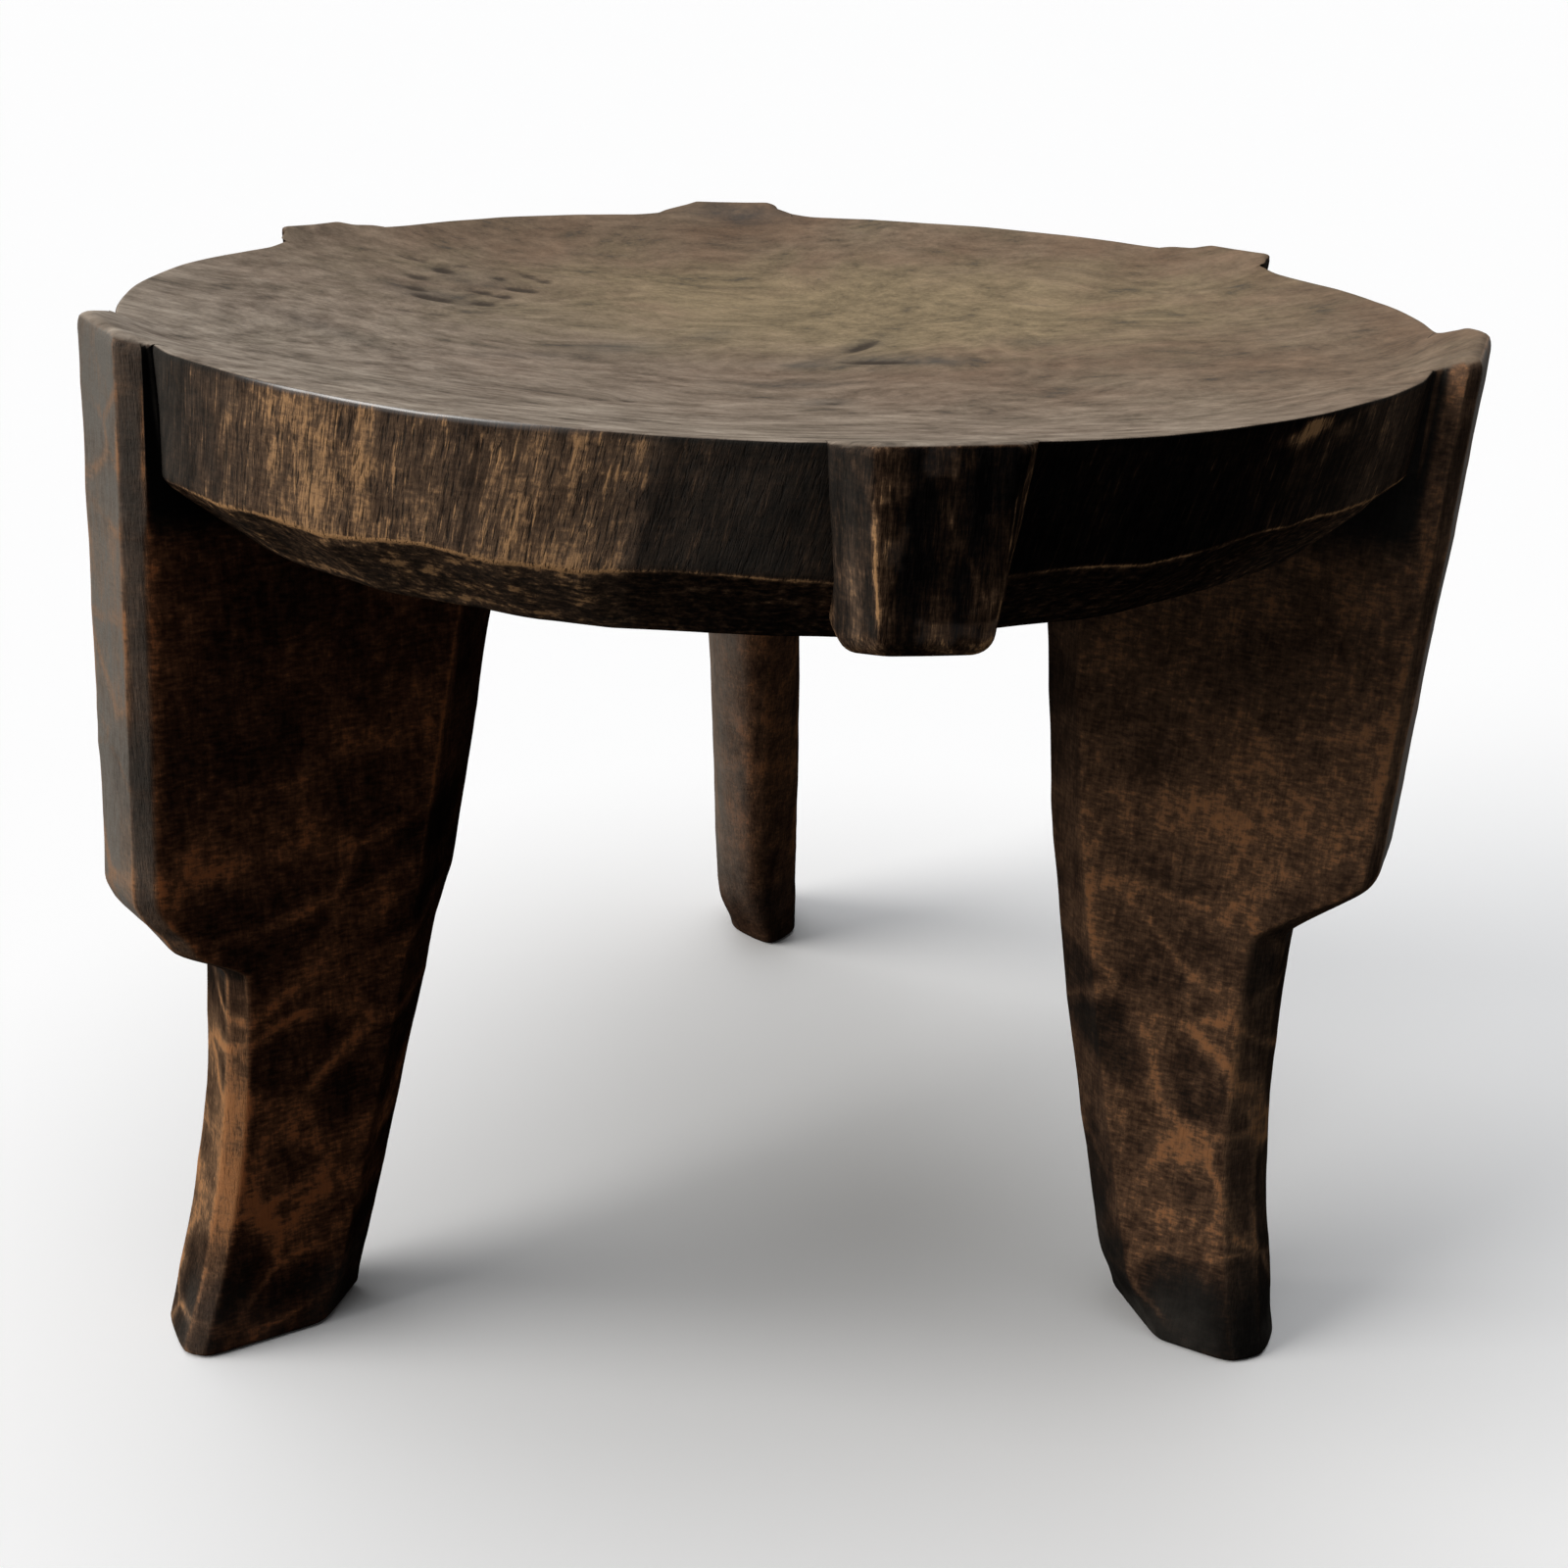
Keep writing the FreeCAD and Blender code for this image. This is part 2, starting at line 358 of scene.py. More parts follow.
def dish_top(x, y):
    """The top's height: a paraboloid bowl on a tilted rim, which runs on rising past the rim and
    over the ears, with shallow strokes, slow waves and gouges left by hand."""
    spot = np.stack([x, y, np.zeros_like(x)], -1)
    nearest, _, _ = strokes(spot, DISH_STROKES, 7)
    bowl = DISH_DEPTH * (1 - (np.hypot(x, y) / RIM_RADIUS) ** 2)
    waves = 0.4 * clouds(spot, 60, 11) + 0.08 * clouds(spot, 12, 15)
    waves = waves + DISH_STROKE_DEPTH * (nearest ** 2 - 0.3)
    front = FRONT_LIFT * ramp_up(*FRONT_LIFT_REACH, -y) * (1 - 0.5 * x / RIM_RADIUS)
    rim = tilted(RIM_HEIGHT, RIM_TILT, x, y) + (BACK_LIFT * ramp_up(*BACK_LIFT_REACH, y) + front)
    return rim - bowl + ear_rise(x, y) + waves - long_bells(GOUGES, x, y)


def side_by_side(corners, counts):
    """Points evenly spaced along each side of a closed polygon, for every row at once."""
    starts = np.repeat(np.arange(len(counts)), counts)
    shares = np.concatenate([np.arange(count) / count for count in counts])
    ends = (starts + 1) % len(counts)
    return towards(corners[:, starts], corners[:, ends], shares[None, :, None])


def member_rows(bottom, bottom_round, side_rows, top_round):
    """Rows of a standing member, from the middle of its bottom to the middle of its top.

    Gives each row's level, how far it is drawn in from the sides, how far it is gathered to the
    middle, and how far it lies below the top surface, or -1 for rows that don't follow it. Each is
    put together from bottom, rounded edge, sides, rounded edge and top.
    """
    bend = np.radians(np.linspace(0, 90, ROUND_ROWS))
    sides = np.linspace(bottom + bottom_round, SIDE_TOP, side_rows)[1:-1]
    gathered = np.linspace(0, 1, CAP_ROWS + 1)[:-1]
    cap, edge, side = np.zeros(CAP_ROWS), np.zeros(ROUND_ROWS), np.zeros_like(sides)
    late, early = 1 - np.cos(bend), 1 - np.sin(bend)
    level = [cap + bottom, bottom + bottom_round * late, sides, edge + SIDE_TOP, cap + SIDE_TOP]
    inset = [cap + bottom_round, bottom_round * early, side, top_round * late, cap + top_round]
    gather = [gathered, edge + 1, side + 1, edge + 1, gathered[::-1]]
    below = [cap - 1, edge - 1, side - 1, top_round * early, cap]
    return [np.concatenate(part)[:, None] for part in (level, inset, gather, below)]


def member_skin(outline, rows, member, blend_height):
    """Draws each row of an outline in to its middle, stands it up and trims it to the dish."""
    level, inset, gather, below = rows
    low = outline.min(1, keepdims=True)
    high = outline.max(1, keepdims=True)
    middle = (low + high) / 2
    half = (high - low) / 2
    outline = middle + (outline - middle) * (1 - inset[..., None] / half) * gather[..., None]
    x, y = turned(outline[..., 0], outline[..., 1], math.radians(member.angle))
    radius = np.hypot(x, y)
    top = dish_top(x, y) + TOP_PROUD - TOP_SINK * ramp_down(*SINK_RADII, radius)
    first_top_row = int(np.argmax(below[:, 0] >= 0))
    rounded = top - below * ramp_up(*ROUNDED_RADII, radius)
    blend_share = ramp_up(SIDE_TOP - blend_height, SIDE_TOP, level)
    lifted = level + blend_share * (rounded[first_top_row] - SIDE_TOP)
    return np.stack([x, y, np.where(below < 0, lifted, rounded)], -1)


def hidden_radius(level):
    """The radius that a member reaches in to, under the bevel and behind the band."""
    heights, radii = zip(*HIDDEN_RADII)
    return np.interp(level, heights, radii)


def leg_outline(leg, level):
    """A leg's cut-cornered sections, which run straight above the shoulder and parabolic below."""
    shoulder = leg.step - leg.drop
    knots = (LEG_FULL_HEIGHT, leg.step, shoulder, shoulder / 2, 0.0)

    def run(values, level):
        upper = np.interp(level, knots[2::-1], values[2::-1])
        lower = np.polyval(np.polyfit(knots[2:], values[2:], 2), level)
        return np.where(level > shoulder, upper, lower)

    descent = 1 - level / LEG_FULL_HEIGHT
    half = towards(leg.base[0], leg.half_foot, descent)
    below_step = ramp_down(shoulder, leg.step, level)
    outer_cut = towards(*leg.outer_cut, below_step)
    inner_cut = towards(*leg.inner_cut, below_step)
    edge_in = leg.edge[0] * (1 - below_step)
    edge_side = towards(leg.edge[1], outer_cut, below_step)
    spread = 0.5 + leg.step_round * ramp_up(shoulder + 1, leg.step + 2, level)
    outer = np.mean([run(leg.outer, level + spread * k) for k in (-1, -0.5, 0, 0.5, 1)], axis=0)
    inner = run(leg.inner, level)
    pivot = (outer + inner) / 2

    under_leg = turned(UNDER_LEG_RADIUS, 0, math.radians(leg.angle))
    underside = tilted(UNDERSIDE_HEIGHT, UNDERSIDE_TILT, *under_leg)
    buried = ramp_up(underside + BURIED_FROM, underside + BURIED_TO, level)
    inner = towards(inner, hidden_radius(level), buried)
    inner_cut = towards(inner_cut, BURIED_CUT, buried)
    flank = outer - outer_cut
    lap = towards((flank + inner + inner_cut) / 2, LAP_RADIUS, buried)
    left, right = (flare * ramp_up(*FLARE_LEVELS, level) for flare in leg.flares)
    left_lap, right_lap = (np.minimum(lap + 0.6 * flare, flank - 0.8) for flare in (left, right))
    worn = ramp_down(0, FOOT_WEAR_HEIGHT, level)
    left_cut, right_cut = (inner_cut + wear * worn for wear in leg.foot_wear)
    ahead, behind = (half - narrow * worn for narrow in leg.narrow)

    radius = np.stack([
        outer, outer - edge_in, flank, left_lap, lap - 0.7, inner + left_cut,
        inner, inner, inner + right_cut, lap - 0.7, right_lap, flank,
    ], -1)
    side = np.stack([
        outer_cut - behind, ahead - edge_side, ahead, ahead + 0.1 * left, ahead + left,
        ahead + left, ahead - left_cut, right_cut - behind, -behind - right, -behind - right,
        -behind - 0.1 * right, -behind,
    ], -1)
    pivot, descent = pivot[:, None], descent[:, None]
    out, side = turned(radius - pivot, side, np.radians(leg.twist) * descent)
    return np.stack([pivot + out, side + leg.side * descent], -1)


def leg_skin(leg):
    """A leg's grid: its sections climb from foot to dish, rounded, then dressed by the adze."""
    rows = member_rows(0.0, FOOT_ROUND, LEG_SIDE_ROWS, TOP_ROUND)
    level = rows[0]
    outline = side_by_side(leg_outline(leg, level[:, 0]), LEG_SIDE_COUNTS)
    outline = smoothed(smoothed(outline, 3, 1, True), 2, 0, False)
    rounder = smoothed(outline, CORNER_PASSES + int(SOFT_PASSES * leg.soft), 1, True)
    foot_share = FOOT_SOFTNESS * ramp_down(2, FOOT_WEAR_HEIGHT, level)
    share = np.maximum(foot_share, leg.soft * ramp_down(185, 212, level))
    outline = towards(outline, rounder, share[..., None])
    grid = member_skin(outline, rows, leg, LEG_BLEND)
    return dressed(grid, leg, LEG_STROKES, 0.55 - 0.3 * leg.soft, 0.12)


def lug_outline(lug, level):
    """A lug's sections: a flat face between slanted sides that spread into the rim."""
    share = (level - lug.toe) / (SIDE_TOP - lug.toe)
    face = towards(lug.face[1], lug.face[0], share)
    left, right = (base - taper * (1 - share) for base, taper in zip(lug.base, lug.taper))
    left_end, right_end = left + lug.flares[0], right + lug.flares[1]
    outer = np.full_like(level, lug.radius)
    lap = np.full_like(level, LAP_RADIUS)
    inner = hidden_radius(level)
    radius = np.stack([outer, outer, lap + 1.2, lap - 0.8, inner, inner, lap - 0.8, lap + 1.2], -1)
    side = np.stack([-face, face, left, left_end, left_end, -right_end, -right_end, -right], -1)
    return np.stack([radius, side], -1)


def lug_skin(lug):
    """A lug's grid: its sections climb from toe to dish, rounded, then dressed by the adze.

    The toe drops evenly from the face to the seat, and less with height.
    """
    toe = lug.toe
    rows = member_rows(toe, TOE_ROUND, LUG_SIDE_ROWS, LUG_TOP_ROUND)
    outline = side_by_side(lug_outline(lug, rows[0][:, 0]), LUG_SIDE_COUNTS)
    grid = member_skin(smoothed(outline, LUG_PASSES, 1, True), rows, lug, LUG_BLEND)
    depth = lug.radius - np.hypot(grid[..., 0], grid[..., 1])
    inwards = np.clip(depth / (lug.radius - LAP_RADIUS), 0, 1)
    grid[..., 2] -= lug.toe_drop * inwards * ramp_down(toe, toe + TOE_DROP_HEIGHT, grid[..., 2])
    return dressed(grid, lug, LUG_STROKES, 0.6, 0.35)


def dressed(grid, member, stroke_size, stroke_depth, ripple):
    """Adds hand work to a member, off its top and the floor: shallow adze strokes and slow waves.

    The strokes are cells in the member's own frame, out, sideways and up, which rise towards the
    stool's middle.
    """
    seed = member.seed
    z = grid[..., 2]
    out, side = member_frame(grid, member.angle)
    local = np.stack([out, side, z], -1)
    bent = pushed(local, 5, 24, seed + 40, 1)
    bent[..., 2] += STROKE_LEAN * (out - LAP_RADIUS + side)
    nearest, gap, own = strokes(bent, stroke_size, seed)
    low = z.min()
    normal = outward(grid)
    free = ramp_up(low + 1, low + 8, z) * (1 - ramp_up(0.3, 0.8, normal[..., 2]) * (z > TOP_LEVEL))
    hollow = stroke_depth * (np.minimum(nearest, 0.9) ** 2 - 0.6)
    waves = 0.5 * clouds(local, 45, seed + 20) + ripple * clouds(local, 8, seed + 30)
    return grid + normal * (free * (hollow + waves))[..., None], gap, own


def bevel_scoops(x, y):
    """The scoops cut along the bevel, as strokes that depend on the angle round the seat alone."""
    return strokes(on_rim(np.arctan2(y, x)), SCOOP_SIZE, 24)


def seat_skin():
    """The seat's grid: underside, bevel, band and dish as one profile carried round the axis.

    Every corner of the profile has its own wavy height and radius round the ring, and the ridge
    climbs over each scoop; the profile is then smoothed so that its edges look worn, the bevel is
    hollowed by its scoops, and the band gets its adze strokes.
    """
    turn = np.radians(SEAT_SEAM_ANGLE) + np.linspace(0, 2 * np.pi, SEAT_COLUMNS, endpoint=False)
    c, s = np.cos(turn), np.sin(turn)
    ring = on_rim(turn)
    x, y = ring[:, 0], ring[:, 1]
    scoop, _, _ = bevel_scoops(x, y)
    rim_radius = RIM_RADIUS + 0.3 * clouds(ring, 45, 21) - long_bells(FLAT_SIDES, x, y)
    left_end = hump(np.degrees(turn), LEFT_END, LEFT_END_REACH)
    ridge_radius = rim_radius - BAND_INSET + LEFT_END_FLARE * left_end
    ridge = tilted(RIDGE_HEIGHT, RIDGE_TILT, x, y) + SCOOP_RISE * (SCOOP_MEAN - scoop)
    under_radius = ridge_radius - BEVEL_WIDTH + 1.2 * clouds(ring, 30, 27)
    under = tilted(UNDERSIDE_HEIGHT - UNDERSIDE_DROP, UNDERSIDE_TILT, x, y)
    under = under + SCOOP_LOW_RISE * (SCOOP_MEAN - scoop)

    def between(count, begin, end):
        return towards(begin, end, np.linspace(0, 1, count)[1:, None])

    out = np.linspace(0, 1, UNDERSIDE_ROWS)[:, None]
    top_radius = (1 - np.linspace(0, 1, DISH_ROWS) ** DISH_ROW_POWER)[1:, None] * rim_radius
    radius = np.concatenate([
        out * under_radius, between(BEVEL_ROWS, under_radius, ridge_radius),
        between(BAND_ROWS, ridge_radius, rim_radius), top_radius,
    ])
    height = np.concatenate([
        towards(UNDERSIDE_HEIGHT, under, out ** 2), between(BEVEL_ROWS, under, ridge),
        between(BAND_ROWS, ridge, dish_top(rim_radius * c, rim_radius * s)),
        dish_top(top_radius * c, top_radius * s),
    ])
    profile = smoothed(np.stack([radius, height], -1), 3, 0, False)
    grid = np.stack([profile[..., 0] * c, profile[..., 0] * s, profile[..., 1]], -1)

    rows = np.arange(len(grid))[:, None]
    low = UNDERSIDE_ROWS
    side = ramp_up(low, low + 5, rows) * ramp_down(RIM_ROW - 9, RIM_ROW + 1, rows)
    bevel = ramp_up(low, low + 6, rows) * ramp_down(RIDGE_ROW - 4, RIDGE_ROW, rows)
    nearest, gap, own = strokes(pushed(grid, 4, 30, 41, 3), BAND_STROKES, 50)
    carved = BAND_STROKE_DEPTH * (np.minimum(nearest, 0.9) ** 2 - 0.5) + 0.2 * clouds(grid, 10, 60)
    hollow = SCOOP_DEPTH * (scoop ** 2 - 0.3)
    cut = side * (1 - bevel) * carved + bevel * hollow
    return grid + outward(grid) * cut[..., None], gap, own


def write_mesh(name, grid, marks):
    """A closed mesh: the grid's rings as quads, and a fan to one point at its first and last row.

    Marks are values for each point of the grid, kept as attributes for the materials to read.
    """
    rows, columns = grid.shape[:2]
    rings = (rows - 2) * columns

    def flat(values):
        ends = values[[0, -1]].mean(1)
        return np.concatenate([values[1:-1].reshape(rings, -1), ends.reshape(2, -1)])

    ring = np.arange(columns)
    after = (ring + 1) % columns
    start = columns * np.arange(rows - 3)[:, None]
    above = start + columns
    quads = np.stack([start + ring, start + after, above + after, above + ring], -1)
    last = rings - columns
    bottom = np.stack([np.full(columns, rings), after, ring], -1)
    top = np.stack([np.full(columns, rings + 1), last + ring, last + after], -1)
    faces = quads.reshape(-1, 4).tolist() + bottom.tolist() + top.tolist()
    mesh = bpy.data.meshes.new(name)
    mesh.from_pydata(flat(grid) * MM, [], faces)
    mesh.shade_smooth()
    for label, values in marks.items():
        kind, field = ("FLOAT_VECTOR", "vector") if values.ndim == 3 else ("FLOAT", "value")
        data = mesh.attributes.new(label, kind, "POINT").data
        data.foreach_set(field, flat(values).astype(np.float32).ravel())
    return mesh


def put(name, data):
    """A new object in the scene."""
    thing = bpy.data.objects.new(name, data)
    bpy.context.scene.collection.objects.link(thing)
    return thing


def make_piece(node, grid, marks, material):
    """Puts a finished skin in the scene in place of its CAD node."""
    piece = put(node + "_carved", write_mesh(node + "_carved", grid, marks))
    piece.data.materials.append(material)
    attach(piece, "root")
    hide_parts(node)


# Finish: a tone from smoke, below 0, to bare worn wood, above 0. Round the band it is given at
# angles from +X; the band's grain leans to the right as it climbs.
GRAIN_LEAN = 0.0017
EDGE_TONE = 0.26
BAND_TONES = (
    (-145, -0.62), (-141.5, -0.46), (-138, -0.34), (-131, -0.07), (-126, 0.03), (-119, 0.02),
    (-117.5, 0.07), (-115, -0.01), (-111, 0.0), (-109.5, -0.13), (-107, -0.03), (-104.5, 0.07),
    (-97.5, 0.05), (-96.2, -0.3), (-90, -0.34), (-84, -0.42), (-75, -0.54), (-60, -0.54),
    (-48, -0.34), (-36, -0.1), (-25, -0.28), (-12, -0.36), (0, -0.08), (12, 0.04), (24, -0.24),
    (34, -0.4), (46, -0.05), (58, 0.05), (70, -0.18), (84, -0.3), (97, -0.46), (110, -0.14),
    (120, 0.05), (132, 0.0), (149, -0.4), (160, -0.12), (172, 0.06), (184, -0.05), (196, -0.3),
)
# Round the band, as middle and reach: chips, plain facets and the ridge's dark end; the polished
# rim's two ends; and arcs of painted grey sheen with their strength
CHIPPED_ARC, FACETED_ARC, DARK_RIDGE_ARC = (-51, 9), (-126, 9), (-146, 9)
SHINE_BEGIN, SHINE_END = (-132, -124), (-108, -100)
GREY_SHEEN_ARCS = ((-143, 9, 0.2), (-90, 8, 0.12), (-38, 10, 0.05))
# Heights on the legs: shank, under the seat (painted shade and dust), the painted shade beside the
# band, foot, and where worn corners end
SHANK_END, UNDER_SEAT, BAND_RECESS_SHADE_HEIGHTS = (95, 160), (150, 212), (202, 216)
FOOT_END, WORN_END = (4, 36), (233, 240)
LUG_WORN_END = 239
# The sat-on top: the height above which it is, its grey bloom (a painted sheen, lighter towards the
# front left), polish and pale patch
SAT_ON_LEVEL = 222
TOP_PAINTED_SHEEN, TOP_POLISH = 0.58, 0.06
PALE_X, PALE_Y = (20, 105), (54, 54)


def grain_place(grid, lean):
    """A place with the grain's lean taken out: turned back about Z in step with its height."""
    x, y, z = np.moveaxis(grid, -1, 0)
    return np.stack([*turned(x, y, -lean * (z - RIM_HEIGHT)), z], -1)


def worn_edges(grid, gap, seam_weight):
    """Bare wood on edges that stand out and, in broken lengths, on the borders between strokes."""
    broken = ramp_up(-0.4, 0.35, clouds(grid, 18, 71))
    edge = ramp_up(0.05, 0.17, bulge(grid, 3)) * (0.35 + 0.65 * broken)
    seam = ramp_down(0.02, 0.11, gap) * broken
    return np.maximum(edge, seam_weight * seam)


def wood_marks(grid, tone, bloom, fibre, polish=0.0, ember=0.0, lean=0.0):
    """What the finish reads at each point.

    Tone, grey bloom with painted sheen, long fibres, polish and a painted red tint of shade on the
    sides; the sat-on top with a painted sheen, its pale middle, darker gouges and smears; and the
    place along the grain.
    """
    x, y, z = np.moveaxis(grid, -1, 0)
    top = ramp_up(0.62, 0.88, outward(grid)[..., 2]) * (z > SAT_ON_LEVEL)
    # Painted grey sheen on the top, lighter towards the front left
    top_painted_sheen = TOP_PAINTED_SHEEN * ramp_up(-0.35, 0.95, (-0.5 * x - 0.75 * y) / RIM_RADIUS)
    sink = ramp_up(0.03, 0.5, -bulge(grid, 8))
    flat = np.zeros_like(z)
    return {
        "tone": tone - 0.22 * sink,
        "bloom": towards(np.clip(bloom, 0, 1) + flat, top_painted_sheen, top),
        "fibre": fibre + flat,
        "polish": towards(polish + flat, TOP_POLISH, top),
        "ember": ember + flat,
        "top": top,
        "pale": hump(x, *PALE_X) * hump(y, *PALE_Y),
        # Darker in the gouges
        "gouge_darkening": ramp_up(0.05, 0.7, long_bells(GOUGES, x, y)),
        "smear": np.minimum(long_bells(SMEARS, x, y), 1),
        "grain": grain_place(grid, lean) * MM,
    }


def seat_marks(grid, gap, own):
    """Finish of the seat: patched and faceted band, dark scooped bevel, golden ridge between."""
    flat = grain_place(grid, GRAIN_LEAN)
    x, y, z = np.moveaxis(flat, -1, 0)
    turn = np.degrees(np.arctan2(y, x)) + 1.2 * clouds(flat, (10, 10, 50), 77)
    angles, tones = zip(*BAND_TONES)
    patches = np.interp(turn, angles, tones, period=360)
    patches = patches + 0.06 * clouds(flat, (14, 14, 18), 81)
    lit = ramp_up(-0.4, -0.05, patches)
    broken = ramp_up(-0.7, 0.2, clouds(grid, 14, 84))

    rows = np.arange(len(grid))[:, None]
    ridge, rim = grid[RIDGE_ROW, :, 2], grid[RIM_ROW, :, 2]
    band = ramp_up(RIDGE_ROW - 1, RIDGE_ROW, rows)
    ridge_line = np.minimum(1.5 * hump(rows, RIDGE_ROW, 0.6), 1) * (0.45 + 0.55 * broken)
    ridge_line = ridge_line * (1 - hump(turn, *DARK_RIDGE_ARC))
    rim_line = hump(rows, RIM_ROW, 1.3)
    near_rim = ramp_up(rim - 8, rim - 3, z) * (1 - rim_line)
    near_ridge = np.exp(-np.maximum(z - ridge, 0) / 2.5)

    chips = near_rim * hump(turn, *CHIPPED_ARC) * ramp_up(-0.1, 0.3, clouds(grid, 7, 87))
    _, facet_gap, facet = strokes(pushed(flat, 3, 14, 101, 3), (15, 15, 26), 97)
    facets = ramp_down(0.02, 0.1, facet_gap) * broken * (0.15 + 0.85 * hump(turn, *FACETED_ARC))
    bare = np.maximum(0.8 * facets, 0.4 * worn_edges(grid, gap, 1.0)) * lit
    side_tone = patches + lit * (0.03 * near_rim + 0.04 * near_ridge + 0.14 * (facet - 0.5))
    side_tone = towards(side_tone + 0.08 * (own - 0.5), EDGE_TONE, bare)
    side_tone = towards(side_tone, EDGE_TONE + 0.12, 0.95 * chips)

    _, scoop_gap, scoop_own = bevel_scoops(grid[..., 0], grid[..., 1])
    cusp = ramp_down(0.05, 0.4, scoop_gap) * ramp_up(0.25, 0.6, scoop_own)
    below = ridge - z
    pitted = ramp_up(-0.15, 0.35, clouds(grid, 3, 91))
    golden = np.maximum(cusp * ramp_up(-20, -2, -below) * pitted, 0.5 * np.exp(-below / 1.5))
    golden = golden * (0.3 + 0.7 * lit) * (0.3 + 0.7 * broken)
    lower_edge = hump(rows, UNDERSIDE_ROWS + 5, 1.6)
    bevel_tone = 0.35 * np.minimum(patches, 0) - 0.145 + 0.14 * (own - 0.5)
    bevel_tone = bevel_tone + 0.46 * golden + 0.3 * lower_edge * broken * lit

    tone = towards(bevel_tone, side_tone, band)
    tone = towards(tone, 0.4 + 0.2 * lit, 0.95 * ridge_line)
    tone -= 0.35 * rim_line
    # Painted grey sheen: arcs round the band, on its lighter patches and on the bevel
    grey = sum(strength * hump(turn, middle, reach) for middle, reach, strength in GREY_SHEEN_ARCS)
    seat_bloom_and_sheen = band * (0.12 * lit * (1 - 0.7 * bare) + grey)
    seat_bloom_and_sheen = (seat_bloom_and_sheen + 0.19 * (1 - band) * lit * (1 - golden)) * (1 - ridge_line)
    shine = ramp_up(*SHINE_BEGIN, turn) * ramp_down(*SHINE_END, turn)
    shine = shine * hump(rows, RIM_ROW - 0.3, 0.9) * (0.4 + 0.6 * broken)
    return wood_marks(grid, tone, seat_bloom_and_sheen, band, shine, 0.0, GRAIN_LEAN)


def leg_marks(grid, gap, own, leg):
    """Finish of a leg: dark strokes with golden borders down the shank, painted shade under the
    seat, beside the band and under the step, a darker foot, painted sheen, and worn corners."""
    seed = leg.seed
    soft = leg.soft
    normal = outward(grid)
    level_part = np.maximum(np.hypot(normal[..., 0], normal[..., 1]), 0.35)
    facing, sideways = member_frame(normal, leg.angle)
    facing = facing / level_part
    z = grid[..., 2]
    radius = np.hypot(grid[..., 0], grid[..., 1])
    shoulder = leg.step - leg.drop

    upper = ramp_up(shoulder - 8, leg.step + 8, z)
    shank = ramp_down(*SHANK_END, z)
    outer = ramp_up(0.86, 0.97, facing)
    cut = ramp_up(0.3, 0.55, facing) * (1 - outer)
    inner = ramp_up(0.25, 0.6, -facing)
    under_seat = ramp_up(*UNDER_SEAT, z) * ramp_down(0.2, 0.6, facing)
    band_recess_shade = ramp_up(*BAND_RECESS_SHADE_HEIGHTS, z) * ramp_down(leg.recess - 2.5, leg.recess, radius)
    band_recess_shade = band_recess_shade * ramp_down(0.3, 0.6, facing)
    foot = ramp_down(*FOOT_END, z + 8 * clouds(grid, 14, seed + 90))
    step = hump(z, shoulder - 9, 10) * ramp_up(0.1, 0.5, facing)
    blotch = clouds(grid, 22, seed + 70)
    stroke = 0.12 - 0.24 * ramp_up(0.06, 0.3, gap) + 0.24 * (own - 0.5)

    cut_above, cut_below = leg.cut_tone
    tone = towards(leg.tone[1], leg.tone[0], upper)
    tone += cut * towards(cut_below, cut_above - 0.1 * ramp_up(150, 215, z), upper)
    tone -= 0.22 * blotch * (1 - 0.5 * shank) * (1 - 0.6 * soft)
    tone += (0.12 + 0.88 * shank) * (1 - 0.6 * cut) * (1 - 0.85 * soft) * stroke
    tone += 0.5 * soft * clouds(grid, (4, 4, 48), seed + 50)
    # Painted shade under the seat and black painted shade in the recess beside the band; then
    # painted shade under the step
    tone += leg.shade * under_seat - 0.7 * band_recess_shade
    tone += leg.inner_tone * inner - 0.22 * step
    tone -= 0.7 * np.maximum(tone - 0.06 - 0.12 * cut, 0)

    broken = ramp_up(-0.5, 0.3, clouds(grid, (9, 9, 16), seed + 60))
    columns = np.arange(grid.shape[1]) + 1.2 * clouds(grid, (9, 9, 22), seed + 66)
    corner = sum(hump(columns, column, 1.4) for column in ARRIS_COLUMNS)
    arris = leg.arris * corner * (0.25 + 0.75 * broken)
    seam_weight = leg.seam * (0.2 + 0.8 * shank) * (1 - inner) + 0.3 * outer
    edge = np.maximum(0.8 * worn_edges(grid, gap, seam_weight), arris) * (1 - band_recess_shade)
    edge = edge * (1 - 0.6 * inner) * ramp_down(*WORN_END, z) * (1 - 0.7 * soft)
    tone = towards(tone, EDGE_TONE + 0.08, 0.9 * edge)
    # Darker at the foot; the upper outer face is painted lighter, as a sheen
    tone += leg.foot_tone * foot * (1 - 0.5 * edge) + 0.17 * outer * upper

    drift = ramp_up(-0.45, 0.35, clouds(grid, (14, 14, 34), seed + 80))
    # Painted grey sheen on the upper outer face
    bloom = outer * upper * (0.44 + 0.42 * drift) * (1 - 0.8 * edge)
    bloom += leg.slate * cut * upper * (1 - edge) + 0.18 * foot * (1 - drift)
    bloom += leg.bloom + leg.dust * under_seat
    # A painted grey highlight on the anticlockwise side
    bloom += leg.grey * ramp_up(0.15, 0.85, sideways) * (1 - foot)
    # A red tint painted on the faces in shade, off the outer face and the cut corners
    ember = leg.ember * (1 - outer) * (1 - 0.7 * cut) * (1 - band_recess_shade)
    fibre = 0.2 + 0.8 * np.maximum(np.maximum(cut, outer), np.maximum(0.8 * inner, soft))
    return wood_marks(grid, tone, bloom, fibre, 0.05 * outer * upper, ember)


